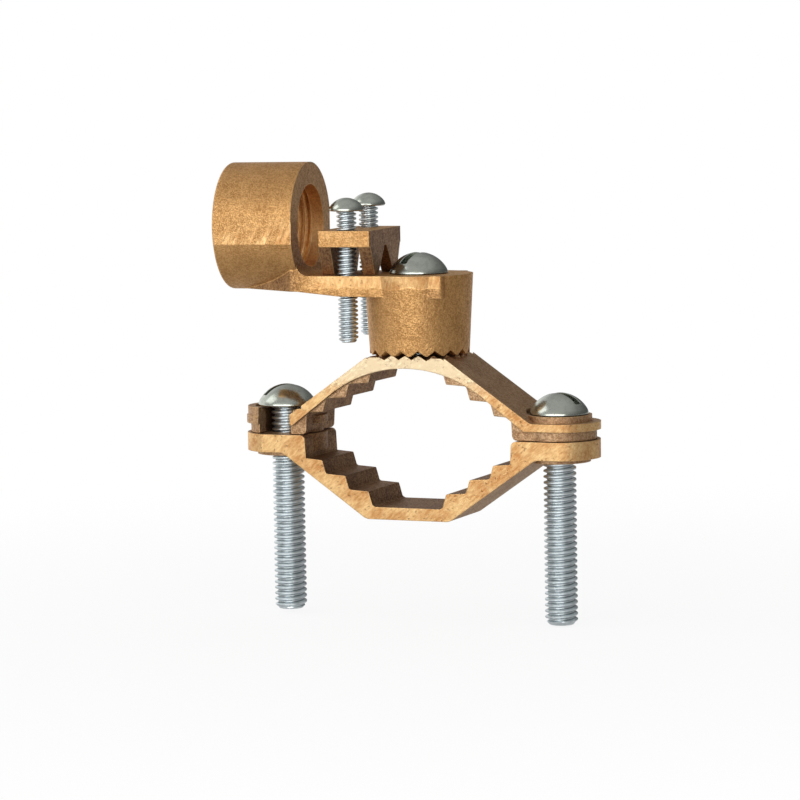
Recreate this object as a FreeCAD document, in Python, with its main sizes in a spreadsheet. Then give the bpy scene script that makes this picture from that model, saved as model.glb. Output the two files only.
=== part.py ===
import FreeCAD, Part
import math
import os
from types import SimpleNamespace

import Sketcher
from FreeCAD import Placement, Rotation, Vector

# Earthing clamp for a water pipe, with a conduit hub and a saddle for the wire.
# Frame: origin on the pipe's axis, midway between the two clamp screws and
# halfway through the jaws' width. +X runs right along the jaws, +Y along the
# pipe away from the viewer, +Z up. Lengths are millimetres, angles degrees.

SIZES = [
    # jaws, which share one stepped seat
    ("screw_spacing", 71.6, "between the axes of the two clamp screws"),
    ("jaw_width", 19.0, "along the pipe, between the ground faces"),
    ("parting_gap", 0.15, "upper jaw above the parting plane"),
    ("seat_height", 16.9, "flat middle of the seat above the parting plane"),
    ("seat_half_length", 8.4, "half the flat middle of the seat"),
    ("seat_bevel_run", 0.8, "bevel between the flat and the first riser"),
    ("seat_bevel_fall", 0.4, "bevel between the flat and the first riser"),
    ("step_count", 3, "steps on each side of the seat"),
    ("step_run", 6.1, "from one step to the next, along X"),
    ("step_rise", 3.65, "from one step to the next, along Z"),
    ("riser_height", 3.3, "height of one riser"),
    ("riser_lean", 0.95, "draft of one riser"),
    ("mouth_half_width", 27.0, "half the open mouth at the parting plane"),
    ("mouth_lean", 0.3, "draft of the mouth's wall"),
    ("step_root_radius", 0.7, "fillet at the foot of a riser"),
    ("step_tip_radius", 0.35, "rounding on the edge of a step"),
    ("mouth_radius", 1.2, "rounding of the mouth's edge at the parting plane"),
    ("outer_radius", 3.0, "rounding where the middle meets the legs"),
    ("ear_blend_radius", 2.5, "fillet between leg and ear"),
    # lower jaw
    ("sole_thickness", 3.0, "under the seat's flat middle"),
    ("sole_half_length", 10.9, "half the flat under the lower jaw"),
    ("lower_ear_start", 33.0, "from the middle to the foot of the sloping leg"),
    ("lower_ear_thickness", 4.4, "ear below the parting plane"),
    ("lower_ear_radius", 9.9, "round end of the ear"),
    ("foot_pad_radius", 7.5, "round pad under the ear"),
    ("foot_pad_height", 1.0, "round pad under the ear"),
    # upper jaw
    ("crown_thickness", 2.6, "over the seat's flat middle"),
    ("crown_half_length", 10.2, "half the flat on top of the upper jaw"),
    ("upper_ear_start", 31.9, "from the middle to the foot of the sloping leg"),
    ("upper_ear_top", 4.3, "top of the ear above the parting plane"),
    ("upper_ear_radius", 10.0, "round end of the ear"),
    ("face_relief", 1.0, "as-cast faces set back from the ground strip"),
    ("strip_ear_level", 2.4, "lower edge of the ground strip along the ears"),
    ("arch_half_length", 20.0, "half the arched stretch of that edge"),
    ("arch_margin", 0.95, "ends of the arch above the foot of the last riser"),
    ("strip_foot", 30.2, "from the middle to where that edge turns level"),
    ("head_pad_radius", 7.9, "machined pad under a clamp screw's head"),
    ("head_pad_top", 5.9, "top of that pad above the parting plane"),
    ("spot_face_depth", 12.0, "room cut into the leg above the pad"),
    ("lip_top", 6.5, "lip round the outer side of the open ear"),
    ("lip_radius", 9.7, "outside of the lip"),
    ("lip_sweep", 170.0, "angle of the lip round the screw"),
    ("swing_slot_angle", 10.0, "arc of the slot open to the front"),
    ("swing_head_room", 0.3, "round the head as the jaw swings"),
    # serrated swivel seat between the upper jaw and the hub's boss
    ("tooth_count", 18, "radial teeth round the seat"),
    ("tooth_land", 1.2, "half the flat left on each crest, in degrees"),
    ("jaw_tooth_radius", 10.8, "outside of the jaw's ring of teeth"),
    ("jaw_tooth_depth", 1.05, "at the outside of the ring"),
    ("jaw_tooth_top", 19.95, "crests of the jaw's teeth"),
    ("boss_tooth_depth", 1.3, "at the outside of the boss"),
    ("swivel_gap", 0.05, "between the two rings of crests"),
    # hub casting: boss, arm and conduit hub
    ("hub_turn", 5.82, "hub end turned towards the viewer"),
    ("boss_height", 19.3, "from the teeth to the flat top"),
    ("boss_top_radius", 13.2, "boss at its top"),
    ("boss_foot_radius", 12.1, "boss at its teeth"),
    ("arm_half_width", 11.7, "half the arm's width"),
    ("arm_thickness", 4.9, "arm where it is thinnest"),
    ("arm_root_thickness", 5.4, "arm where it meets the boss"),
    ("arm_root_reach", 17.0, "from the boss's axis to the thin stretch"),
    ("arm_overrun", 9.3, "arm's squared end past the boss's axis"),
    ("arm_corner_radius", 1.0, "upright corners of the squared end"),
    ("arm_rise_radius", 3.0, "hollow between the arm's top and the hub's near end"),
    ("web_run_out", 3.0, "arm's root fades out this far from the hub's far end"),
    ("web_tip_half_width", 3.0, "arm's root where it fades out"),
    ("web_tip_thickness", 2.0, "arm's root where it fades out"),
    ("hub_radius", 15.5, "outside of the conduit hub"),
    ("hub_length", 20.2, "conduit hub along its axis"),
    ("hub_reach", 27.4, "from the boss's axis to the hub's near end"),
    ("hub_rise", 11.7, "hub's axis above the arm's top"),
    ("hub_flat_reach", 15.0, "from the hub's axis to its ground flats"),
    ("hub_bore_radius", 12.55, "bore that carries the conduit thread"),
    ("hub_stop_radius", 10.1, "smaller bore that stops the conduit"),
    ("hub_stop_length", 3.1, "length of that smaller bore"),
    ("hub_edge_radius", 0.8, "rounding of the hub's outer edges"),
    # saddle that clamps the earth wire on the arm
    ("saddle_length", 13.2, "along the arm"),
    ("saddle_reach", 14.9, "from the boss's axis to its middle"),
    ("saddle_half_width", 12.7, "half its width across the arm"),
    ("saddle_thickness", 3.9, "flat plate"),
    ("saddle_gap", 0.1, "between the ribs and the arm"),
    ("rib_height", 6.9, "ribs below the plate"),
    ("rib_thickness", 3.0, "each of the two ribs"),
    ("rib_root_half_width", 12.0, "rib at the plate"),
    ("rib_tip_half_width", 9.0, "rib at its foot"),
    ("notch_tip_half_width", 6.1, "open side of the wire notch"),
    ("notch_root_half_width", 0.8, "closed side of the wire notch"),
    ("saddle_corner_radius", 0.4, "upright corners of the plate"),
    # screws, round headed with a plain slot
    ("clamp_shank_radius", 3.95, "5/16 inch"),
    ("clamp_screw_length", 50.8, "2 inches under the head"),
    ("boss_screw_length", 22.2, "7/8 inch under the head"),
    ("clamp_head_radius", 7.1, "head of a 5/16 inch screw"),
    ("clamp_head_height", 5.2, "head of a 5/16 inch screw"),
    ("clamp_slot_width", 2.0, "slot of a 5/16 inch screw"),
    ("clamp_slot_depth", 2.6, "slot of a 5/16 inch screw"),
    ("saddle_shank_radius", 2.4, "number 10"),
    ("saddle_screw_length", 31.75, "1 1/4 inches under the head"),
    ("saddle_head_radius", 4.2, "head of a number 10 screw"),
    ("saddle_head_height", 3.2, "head of a number 10 screw"),
    ("saddle_slot_width", 1.2, "slot of a number 10 screw"),
    ("saddle_slot_depth", 1.7, "slot of a number 10 screw"),
    ("head_rim", 0.7, "upright edge below a head's dome"),
    ("screw_tip_chamfer", 0.7, "at the end of a shank"),
    ("thread_clearance", 0.05, "round a shank in its tapped hole"),
    ("hole_clearance", 0.3, "round a shank in its clearance hole"),
    ("under_head_gap", 0.05, "between a tight head and its seat"),
    ("left_back_off", 0.7, "left clamp screw's head above its pad"),
    ("saddle_screw_reach", 15.3, "from the boss's axis to the saddle screws"),
    ("saddle_screw_half_spacing", 8.74, "half the saddle screws' spacing"),
    ("front_screw_back_off", 4.7, "front saddle screw's head above the saddle"),
    ("rear_screw_back_off", 5.25, "rear saddle screw's head above the saddle"),
    ("left_slot_turn", 43.0, "slot of the left clamp screw"),
    ("right_slot_turn", 165.0, "slot of the right clamp screw"),
    ("boss_slot_turn", 70.0, "slot of the boss screw"),
    ("front_slot_turn", 30.0, "slot of the front saddle screw"),
    ("rear_slot_turn", 15.0, "slot of the rear saddle screw"),
]


class Size:
    """A size: its value now, and the sheet formula that keeps it up to date."""

    def __init__(self, value, formula):
        self.value = value
        self.formula = formula

    @staticmethod
    def of(term):
        if isinstance(term, Size):
            return term
        return Size(float(term), f"({float(term)})")

    def combined(self, sign, other, value):
        return Size(value, f"({self.formula} {sign} {other.formula})")

    def __add__(self, other):
        other = Size.of(other)
        return self.combined("+", other, self.value + other.value)

    def __sub__(self, other):
        other = Size.of(other)
        return self.combined("-", other, self.value - other.value)

    def __mul__(self, other):
        other = Size.of(other)
        return self.combined("*", other, self.value * other.value)

    def __truediv__(self, other):
        other = Size.of(other)
        return self.combined("/", other, self.value / other.value)

    def __neg__(self):
        return self * -1

    def sine(self):
        return Size(math.sin(math.radians(self.value)), f"sin({self.formula})")

    def cosine(self):
        return Size(math.cos(math.radians(self.value)), f"cos({self.formula})")

    def tangent(self):
        return Size(math.tan(math.radians(self.value)), f"tan({self.formula})")

    def root(self):
        return Size(math.sqrt(self.value), f"sqrt({self.formula})")


def make_sheet(doc):
    """Put the driving sizes in a sheet and return them by name."""
    sheet = doc.addObject("Spreadsheet::Sheet", "Sizes")
    for row, (name, value, note) in enumerate(SIZES, 1):
        sheet.set(f"A{row}", note)
        sheet.set(f"B{row}", str(value))
        sheet.setAlias(f"B{row}", name)
    doc.recompute()
    return SimpleNamespace(**{name: Size(value, f"Sizes.{name}") for name, value, note in SIZES})


doc = FreeCAD.newDocument("earthing_pipe_clamp")
sz = make_sheet(doc)

ZERO = Size(0.0, "0")
FULL_TURN = Size(360.0, "360")
SPARE = Size(3.0, "3")

screw_x = sz.screw_spacing / 2
half_width = sz.jaw_width / 2
crown_top = sz.seat_height + sz.crown_thickness
boss_foot = sz.jaw_tooth_top + sz.swivel_gap
arm_top = boss_foot + sz.boss_height
hub_axis = arm_top + sz.hub_rise
saddle_top = arm_top + sz.saddle_gap + sz.rib_height + sz.saddle_thickness
clamp_tapped_radius = sz.clamp_shank_radius + sz.thread_clearance
clamp_clear_radius = sz.clamp_shank_radius + sz.hole_clearance
saddle_tapped_radius = sz.saddle_shank_radius + sz.thread_clearance
saddle_clear_radius = sz.saddle_shank_radius + sz.hole_clearance


# Sketches and features

def origin_item(body, role):
    """One of the body's own origin planes or axes."""
    for item in body.Origin.OriginFeatures:
        if item.Role == role:
            return item
    raise ValueError(role)


def bind(item, path, size):
    item.setExpression(path, size.formula)


def new_body(label):
    body = doc.addObject("PartDesign::Body", label)
    body.Label = label
    return body


def new_sketch(body, name, role, offset=None):
    """A sketch on one of the body's origin planes, moved along its normal."""
    sketch = body.newObject("Sketcher::SketchObject", name)
    sketch.AttachmentSupport = [(origin_item(body, role), "")]
    sketch.MapMode = "FlatFace"
    if offset is not None:
        bind(sketch, "AttachmentOffset.Base.z", offset)
    return sketch


def hold(sketch, kind, places, size):
    """Add one dimension and bind it to its formula."""
    index = sketch.addConstraint(Sketcher.Constraint(kind, *places, size.value))
    sketch.setExpression(f"Constraints[{index}]", size.formula)


def hold_point(sketch, item, end, across, up):
    hold(sketch, "DistanceX", (-1, 1, item, end), across)
    hold(sketch, "DistanceY", (-1, 1, item, end), up)


def draw_circle(sketch, across, up, radius):
    centre = Vector(across.value, up.value, 0)
    item = sketch.addGeometry(Part.Circle(centre, Vector(0, 0, 1), radius.value), False)
    hold_point(sketch, item, 3, across, up)
    hold(sketch, "Radius", (item,), radius)


def draw_arc(sketch, start, end, radius):
    """An anticlockwise arc of less than half a turn."""
    chord = end - start
    rise = math.sqrt(radius.value ** 2 - chord.Length ** 2 / 4)
    to_centre = Vector(-chord.y, chord.x, 0).normalize()
    centre = (start + end) / 2 + to_centre * rise
    first = math.atan2(start.y - centre.y, start.x - centre.x)
    last = math.atan2(end.y - centre.y, end.x - centre.x)
    circle = Part.Circle(centre, Vector(0, 0, 1), radius.value)
    item = sketch.addGeometry(Part.ArcOfCircle(circle, first, last), False)
    hold(sketch, "Radius", (item,), radius)
    return item


def draw_outline(sketch, corners, arcs=None, hollow=()):
    """A closed outline through the corners, anticlockwise.

    arcs maps the number of a corner to the radius of the arc that leaves it;
    every other corner is left by a straight line. An arc bulges out, and one
    whose corner is also in hollow curves in.
    """
    arcs = arcs or {}
    points = [Vector(across.value, up.value, 0) for across, up in corners]
    items = []
    for number, start in enumerate(points):
        end = points[(number + 1) % len(points)]
        if number in hollow:
            items.append((draw_arc(sketch, end, start, arcs[number]), 2, 1))
        elif number in arcs:
            items.append((draw_arc(sketch, start, end, arcs[number]), 1, 2))
        else:
            items.append((sketch.addGeometry(Part.LineSegment(start, end), False), 1, 2))
    for number, (item, first, last) in enumerate(items):
        following, start, end = items[(number + 1) % len(items)]
        sketch.addConstraint(Sketcher.Constraint("Coincident", item, last, following, start))
    for (item, first, last), (across, up) in zip(items, corners):
        hold_point(sketch, item, first, across, up)


def draw_box(sketch, left, right, bottom, top):
    draw_outline(sketch, [(left, bottom), (right, bottom), (right, top), (left, top)])


def pad(body, name, sketch, length, symmetric=False):
    feature = body.newObject("PartDesign::Pad", name)
    feature.Profile = sketch
    feature.Midplane = symmetric
    bind(feature, "Length", length)
    body.Tip = feature
    return feature


def cut_through(body, name, sketch):
    """A pocket right through, both ways from its sketch."""
    feature = body.newObject("PartDesign::Pocket", name)
    feature.Profile = sketch
    feature.Type = "ThroughAll"
    feature.Midplane = True
    body.Tip = feature
    return feature


def cut_upwards(body, name, sketch, length):
    """A pocket along the sketch's own normal."""
    feature = body.newObject("PartDesign::Pocket", name)
    feature.Profile = sketch
    feature.Reversed = True
    bind(feature, "Length", length)
    body.Tip = feature
    return feature


def fillet(body, name, edges, radius):
    """Round the named edges of the body's last feature."""
    base = body.Tip
    feature = body.newObject("PartDesign::Fillet", name)
    feature.Base = (base, edges)
    bind(feature, "Radius", radius)
    body.Tip = feature
    return feature


def straight_edges(shape, along, places):
    """Names of the edges along Y or Z through the given places in the other two axes."""
    near = 0.01
    other = {"Y": "z", "Z": "y"}[along]
    names = []
    for number, edge in enumerate(shape.Edges, 1):
        ends = [(vertex.Point.x, getattr(vertex.Point, other)) for vertex in edge.Vertexes]
        if len(ends) < 2:
            continue
        for place in places:
            target = [size.value for size in place]
            if all(math.dist(end, target) < near for end in ends):
                names.append(f"Edge{number}")
    return names


def ring_edges(shape, along, radius):
    """Names of the round edges of one radius at one distance along X."""
    near = 0.01
    names = []
    for number, edge in enumerate(shape.Edges, 1):
        curve = edge.Curve
        if not isinstance(curve, Part.Circle) or abs(curve.Radius - radius.value) > near:
            continue
        if abs(curve.Center.x - along.value) < near:
            names.append(f"Edge{number}")
    return names


def both_sides(places):
    return places + [(-across, up) for across, up in places]


# The seat that both jaws share

def step_corners():
    """Roots and tips of the steps on the right, from the middle outwards."""
    root_x = sz.seat_half_length + sz.seat_bevel_run
    root_z = sz.seat_height - sz.seat_bevel_fall
    roots = []
    tips = []
    for number in range(round(sz.step_count.value)):
        across = root_x + sz.step_run * number
        up = root_z - sz.step_rise * number
        roots.append((across, up))
        tips.append((across + sz.riser_lean, up - sz.riser_height))
    return roots, tips


def seat_outline(gap):
    """The stepped seat from the right of the mouth to its left, above the pipe's axis."""
    roots, tips = step_corners()
    tread_fall = sz.step_rise - sz.riser_height
    mouth_top = (sz.mouth_half_width - sz.mouth_lean, tips[-1][1] - tread_fall)
    right = [(sz.mouth_half_width, gap), mouth_top]
    for root, tip in zip(reversed(roots), reversed(tips)):
        right += [tip, root]
    right.append((sz.seat_half_length, sz.seat_height))
    left = [(-across, up) for across, up in reversed(right)]
    return right + left


def below(places):
    """The same places mirrored under the parting plane."""
    return [(across, -up) for across, up in places]


def round_steps(body, gap, mirrored):
    """Fillet the roots of the steps, and round their tips and the mouth's edge."""
    roots, tips = step_corners()
    mouth = [(sz.mouth_half_width, gap)]
    for name, places, radius in (
        ("StepRoots", roots, sz.step_root_radius),
        ("StepTips", tips, sz.step_tip_radius),
        ("MouthEdges", mouth, sz.mouth_radius),
    ):
        places = both_sides(places)
        if mirrored:
            places = below(places)
        doc.recompute()
        fillet(body, name, straight_edges(body.Tip.Shape, "Y", places), radius)


def ear_discs(body, name, radius, bottom, top):
    """Round ends for both ears, about the two clamp screws."""
    sketch = new_sketch(body, name + "Sketch", "XY_Plane", bottom)
    draw_circle(sketch, screw_x, ZERO, radius)
    draw_circle(sketch, -screw_x, ZERO, radius)
    pad(body, name, sketch, top - bottom)


def grind_faces(body, reach):
    """Trim whatever stands proud of the two ground faces."""
    sketch = new_sketch(body, "GroundFacesSketch", "XY_Plane")
    draw_box(sketch, -reach, reach, half_width, half_width + SPARE)
    draw_box(sketch, -reach, reach, -half_width - SPARE, -half_width)
    cut_through(body, "GroundFaces", sketch)


def make_lower_jaw():
    body = new_body("lower_jaw")
    sole = sz.seat_height + sz.sole_thickness
    ear = sz.lower_ear_thickness
    ear_x = sz.lower_ear_start
    outline = [(screw_x, ZERO)] + seat_outline(ZERO) + [(-screw_x, ZERO), (-screw_x, ear)]
    outline += [(-ear_x, ear), (-sz.sole_half_length, sole)]
    outline += [(sz.sole_half_length, sole), (ear_x, ear), (screw_x, ear)]
    profile = new_sketch(body, "JawProfile", "XZ_Plane")
    draw_outline(profile, below(outline))
    pad(body, "Jaw", profile, sz.jaw_width, symmetric=True)
    round_steps(body, ZERO, mirrored=True)
    doc.recompute()
    sole_corners = below(both_sides([(sz.sole_half_length, sole)]))
    fillet(body, "SoleCorners", straight_edges(body.Tip.Shape, "Y", sole_corners), sz.outer_radius)
    doc.recompute()
    ear_corners = below(both_sides([(ear_x, ear)]))
    fillet(body, "EarCorners", straight_edges(body.Tip.Shape, "Y", ear_corners), sz.ear_blend_radius)

    ear_discs(body, "Ears", sz.lower_ear_radius, -ear, ZERO)
    ear_discs(body, "FootPads", sz.foot_pad_radius, -ear - sz.foot_pad_height, ZERO)
    grind_faces(body, screw_x + sz.lower_ear_radius + SPARE)
    holes = new_sketch(body, "TappedHolesSketch", "XY_Plane")
    draw_circle(holes, screw_x, ZERO, clamp_tapped_radius)
    draw_circle(holes, -screw_x, ZERO, clamp_tapped_radius)
    cut_through(body, "TappedHoles", holes)
    return body


# Radial teeth

def radial_sketch(body, name, radius, turn):
    """An upright sketch that faces outwards at one radius and angle about Z."""
    sketch = new_sketch(body, name, "YZ_Plane", radius * turn.cosine())
    sketch.AttachmentOffset = Placement(
        Vector((radius * turn.sine()).value, 0, (radius * turn.cosine()).value),
        Rotation(Vector(0, 1, 0), turn.value),
    )
    bind(sketch, "AttachmentOffset.Base.x", radius * turn.sine())
    bind(sketch, "AttachmentOffset.Rotation.Angle", turn)
    return sketch


def cut_teeth(body, outside, depth, crest, side, turn):
    """Cut grooves that widen and deepen outwards from the axis, leaving radial teeth.

    side is 1 for teeth that point up and -1 for teeth that point down. The
    crests stay level, so every groove's floor falls away from the crest plane.
    """
    half_pitch = FULL_TURN / sz.tooth_count / 2
    half_angle = half_pitch - sz.tooth_land
    sections = []
    for name, radius in (("Inner", Size.of(1)), ("Outer", outside + SPARE)):
        sketch = radial_sketch(body, f"Tooth{name}Section", radius, turn)
        half_groove = radius * half_angle.tangent()
        floor = crest - radius * depth / outside * side
        clear = crest + SPARE * side
        corners = [(half_groove, crest), (half_groove, clear), (-half_groove, clear)]
        corners += [(-half_groove, crest), (ZERO, floor)]
        draw_outline(sketch, corners)
        sections.append(sketch)
    groove = body.newObject("PartDesign::SubtractiveLoft", "ToothGroove")
    groove.Profile = sections[0]
    groove.Sections = [sections[1]]
    groove.Ruled = True
    body.Tip = groove
    doc.recompute()
    ring = body.newObject("PartDesign::PolarPattern", "Teeth")
    ring.Originals = [groove]
    ring.Axis = (origin_item(body, "Z_Axis"), [""])
    ring.Angle = FULL_TURN.value
    bind(ring, "Occurrences", sz.tooth_count)
    body.Tip = ring


def arc_about_right_screw(body, name, half_span, bottom, top, angle):
    """Cut an arc about the right screw, from the left screw towards the front."""
    sketch = new_sketch(body, name + "Sketch", "XZ_Plane")
    draw_box(sketch, -screw_x - half_span, -screw_x + half_span, bottom, top)
    axis_foot = Vector(screw_x.value, 0, 0)
    axis = sketch.addGeometry(Part.LineSegment(axis_foot, axis_foot + Vector(0, 1, 0)), True)
    hold_point(sketch, axis, 1, screw_x, ZERO)
    hold_point(sketch, axis, 2, screw_x, Size.of(1))
    groove = body.newObject("PartDesign::Groove", name)
    groove.Profile = sketch
    groove.ReferenceAxis = (sketch, ["Axis0"])
    bind(groove, "Angle", angle)
    body.Tip = groove
    return groove


def make_upper_jaw():
    body = new_body("upper_jaw")
    gap = sz.parting_gap
    ear = sz.upper_ear_top
    ear_x = sz.upper_ear_start
    top = [(-ear_x, ear), (-sz.crown_half_length, crown_top)]
    top += [(sz.crown_half_length, crown_top), (ear_x, ear), (screw_x, ear)]
    cast_outline = [(screw_x, gap)] + seat_outline(gap) + [(-screw_x, gap), (-screw_x, ear)]
    profile = new_sketch(body, "CastProfile", "XZ_Plane")
    draw_outline(profile, cast_outline + top)
    pad(body, "CastJaw", profile, sz.jaw_width - sz.face_relief * 2, symmetric=True)

    # The ground strip follows the outside and ends in an arch over the seat.
    roots, tips = step_corners()
    half_chord = sz.arch_half_length
    arch_end = roots[-1][1] + sz.arch_margin
    rise = sz.seat_height - arch_end
    arch_radius = (rise * rise + half_chord * half_chord) / rise / 2
    level = sz.strip_ear_level
    strip = [(screw_x, level), (sz.strip_foot, level), (half_chord, arch_end)]
    strip += [(-half_chord, arch_end), (-sz.strip_foot, level), (-screw_x, level)]
    strip += [(-screw_x, ear)]
    strip_profile = new_sketch(body, "StripProfile", "XZ_Plane")
    draw_outline(strip_profile, strip + top, arcs={2: arch_radius})
    pad(body, "GroundStrip", strip_profile, sz.jaw_width, symmetric=True)
    ear_discs(body, "Ears", sz.upper_ear_radius, level, ear)
    round_steps(body, gap, mirrored=False)
    doc.recompute()
    ear_corners = both_sides([(ear_x, ear)])
    fillet(body, "EarCorners", straight_edges(body.Tip.Shape, "Y", ear_corners), sz.ear_blend_radius)
    ear_discs(body, "EarBands", sz.upper_ear_radius - sz.face_relief, gap, level)
    ear_discs(body, "HeadPads", sz.head_pad_radius, gap, sz.head_pad_top)
    make_lip(body)

    crown = new_sketch(body, "CrownSketch", "XY_Plane", crown_top - sz.crown_thickness / 2)
    draw_circle(crown, ZERO, ZERO, sz.jaw_tooth_radius)
    pad(body, "Crown", crown, sz.jaw_tooth_top - crown_top + sz.crown_thickness / 2)
    cut_teeth(body, sz.jaw_tooth_radius, sz.jaw_tooth_depth, sz.jaw_tooth_top, 1, ZERO)
    grind_faces(body, screw_x + sz.upper_ear_radius + SPARE)

    holes = new_sketch(body, "HolesSketch", "XY_Plane")
    draw_circle(holes, screw_x, ZERO, clamp_clear_radius)
    draw_circle(holes, -screw_x, ZERO, clamp_clear_radius)
    draw_circle(holes, ZERO, ZERO, clamp_tapped_radius)
    cut_through(body, "Holes", holes)
    arc_about_right_screw(body, "SwingSlot", clamp_clear_radius, ZERO,
                          sz.head_pad_top + SPARE, sz.swing_slot_angle)

    faces = new_sketch(body, "SpotFacesSketch", "XY_Plane", sz.head_pad_top)
    draw_circle(faces, screw_x, ZERO, sz.head_pad_radius)
    draw_circle(faces, -screw_x, ZERO, sz.head_pad_radius)
    cut_upwards(body, "SpotFaces", faces, sz.spot_face_depth)
    arc_about_right_screw(body, "HeadSweep", sz.clamp_head_radius + sz.swing_head_room,
                          sz.lip_top, sz.lip_top + sz.spot_face_depth, sz.swing_slot_angle)
    return body


def make_lip(body):
    """A lip round the outer side of the left ear, which keeps the head in its seat."""
    sketch = new_sketch(body, "LipSketch", "XZ_Plane")
    draw_box(sketch, -screw_x - sz.lip_radius, -screw_x - sz.head_pad_radius,
             sz.strip_ear_level, sz.lip_top)
    axis_foot = Vector(-screw_x.value, 0, 0)
    axis = sketch.addGeometry(Part.LineSegment(axis_foot, axis_foot + Vector(0, 1, 0)), True)
    hold_point(sketch, axis, 1, -screw_x, ZERO)
    hold_point(sketch, axis, 2, -screw_x, Size.of(1))
    lip = body.newObject("PartDesign::Revolution", "Lip")
    lip.Profile = sketch
    lip.ReferenceAxis = (sketch, ["Axis0"])
    lip.Midplane = True
    bind(lip, "Angle", sz.lip_sweep)
    body.Tip = lip


# The hub casting and what stands on it share one frame, turned about the boss

def turn_with_hub(body):
    body.Placement = Placement(Vector(), Rotation(Vector(0, 0, 1), sz.hub_turn.value))
    bind(body, "Placement.Rotation.Angle", sz.hub_turn)


def make_hub_fitting():
    body = new_body("hub_fitting")
    boss_profile = new_sketch(body, "BossProfile", "XZ_Plane")
    boss_outline = [(ZERO, boss_foot), (sz.boss_foot_radius, boss_foot)]
    boss_outline += [(sz.boss_top_radius, arm_top), (ZERO, arm_top)]
    draw_outline(boss_profile, boss_outline)
    boss = body.newObject("PartDesign::Revolution", "Boss")
    boss.Profile = boss_profile
    boss.ReferenceAxis = (boss_profile, ["V_Axis"])
    boss.Angle = FULL_TURN.value
    body.Tip = boss

    arm_profile = new_sketch(body, "ArmProfile", "XZ_Plane")
    hub_bottom = hub_axis - sz.hub_radius
    arm_end = -sz.hub_reach - sz.hub_stop_length / 2
    rise_top = arm_top + sz.arm_rise_radius
    arm_outline = [
        (arm_end, rise_top),
        (arm_end, hub_bottom),
        (-sz.hub_reach, hub_bottom),
        (-sz.arm_root_reach, arm_top - sz.arm_thickness),
        (sz.arm_overrun, arm_top - sz.arm_root_thickness),
        (sz.arm_overrun, arm_top),
        (-sz.hub_reach + sz.arm_rise_radius, arm_top),
        (-sz.hub_reach, rise_top),
    ]
    draw_outline(arm_profile, arm_outline, arcs={6: sz.arm_rise_radius}, hollow=(6,))
    pad(body, "Arm", arm_profile, sz.arm_half_width * 2, symmetric=True)
    doc.recompute()
    arm_corners = [(sz.arm_overrun, sz.arm_half_width), (sz.arm_overrun, -sz.arm_half_width)]
    fillet(body, "ArmCorners", straight_edges(body.Tip.Shape, "Z", arm_corners),
           sz.arm_corner_radius)

    hub_far = -sz.hub_reach - sz.hub_length
    barrel = new_sketch(body, "BarrelSketch", "YZ_Plane", hub_far)
    draw_circle(barrel, ZERO, hub_axis, sz.hub_radius)
    pad(body, "Barrel", barrel, sz.hub_length)

    # Under the hub the arm's root narrows and fades into the barrel.
    root = new_sketch(body, "WebRoot", "YZ_Plane", arm_end)
    draw_box(root, -sz.arm_half_width, sz.arm_half_width, hub_bottom, rise_top)
    tip = new_sketch(body, "WebTip", "YZ_Plane", hub_far + sz.web_run_out)
    tip_bottom = hub_axis - (sz.hub_radius * sz.hub_radius
                             - sz.web_tip_half_width * sz.web_tip_half_width).root()
    draw_box(tip, -sz.web_tip_half_width, sz.web_tip_half_width, tip_bottom,
             tip_bottom + sz.web_tip_thickness)
    web = body.newObject("PartDesign::AdditiveLoft", "Web")
    web.Profile = root
    web.Sections = [tip]
    web.Ruled = True
    body.Tip = web
    doc.recompute()
    far_edge = ring_edges(body.Tip.Shape, hub_far, sz.hub_radius)
    fillet(body, "BarrelEdge", far_edge, sz.hub_edge_radius)
    flats = new_sketch(body, "FlatsSketch", "YZ_Plane", hub_far)
    for side in (1, -1):
        near_edge = sz.hub_flat_reach * side
        far_edge = (sz.hub_radius + SPARE) * side
        draw_box(flats, near_edge, far_edge, hub_bottom, hub_axis + sz.hub_radius)
    cut_upwards(body, "GroundFlats", flats, sz.hub_length)
    bore = new_sketch(body, "BoreSketch", "YZ_Plane", hub_far)
    draw_circle(bore, ZERO, hub_axis, sz.hub_bore_radius)
    cut_upwards(body, "Bore", bore, sz.hub_length - sz.hub_stop_length)
    stop = new_sketch(body, "StopSketch", "YZ_Plane", hub_far)
    draw_circle(stop, ZERO, hub_axis, sz.hub_stop_radius)
    cut_upwards(body, "Stop", stop, sz.hub_length + SPARE)

    half_pitch = FULL_TURN / sz.tooth_count / 2
    cut_teeth(body, sz.boss_foot_radius, sz.boss_tooth_depth, boss_foot, -1,
              half_pitch - sz.hub_turn)

    holes = new_sketch(body, "HolesSketch", "XY_Plane")
    draw_circle(holes, ZERO, ZERO, clamp_clear_radius)
    draw_circle(holes, -sz.saddle_screw_reach, sz.saddle_screw_half_spacing,
                saddle_tapped_radius)
    draw_circle(holes, -sz.saddle_screw_reach, -sz.saddle_screw_half_spacing,
                saddle_tapped_radius)
    cut_through(body, "Holes", holes)
    turn_with_hub(body)
    return body


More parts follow.
